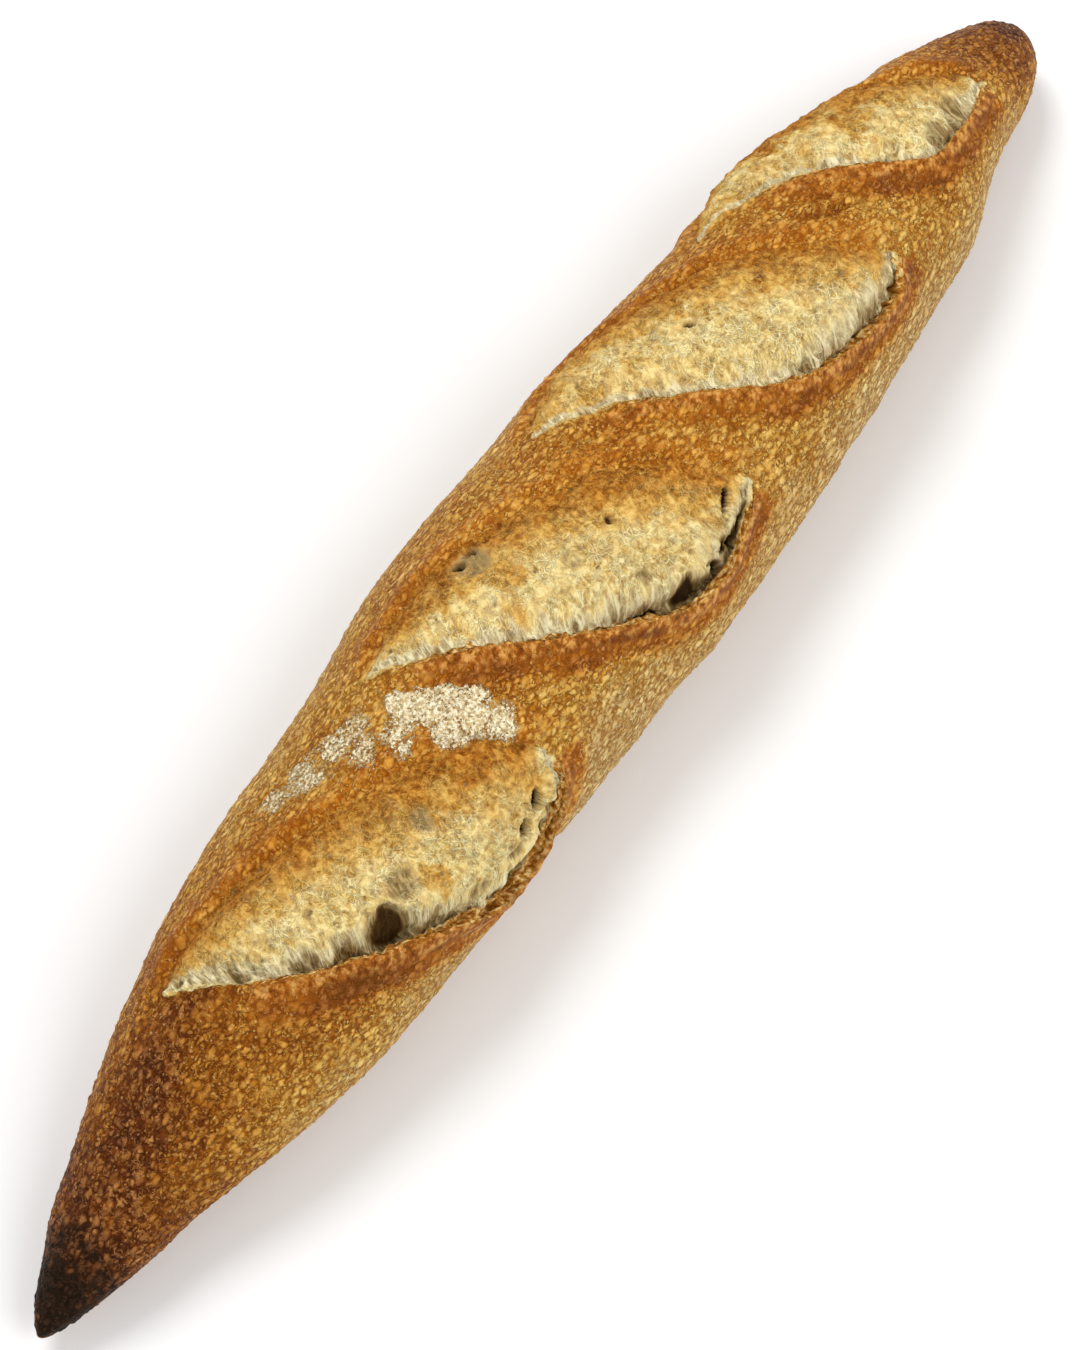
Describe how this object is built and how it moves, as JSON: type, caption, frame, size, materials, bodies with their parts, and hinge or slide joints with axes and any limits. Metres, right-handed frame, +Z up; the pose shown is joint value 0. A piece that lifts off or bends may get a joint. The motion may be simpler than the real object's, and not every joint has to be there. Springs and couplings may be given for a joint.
{
  "type": "baguette",
  "caption": "Short crusty baguette baked as one piece, with diagonal scores opened on top, a lifted ear of crust at each score, pointed tips and a flat underside to rest on.",
  "frame": {"origin": "on the surface the loaf rests on, below the middle of its bounding box", "axes": "+X along the loaf towards its blunt tip, +Z up through the scored top"},
  "size_m": [0.382, 0.067, 0.0541],
  "materials": {
    "crust": "matte, blistered golden-brown bread crust with paler opened crumb"
  },
  "bodies": {
    "root": {"loaf": "crust"}
  },
  "joints": []
}
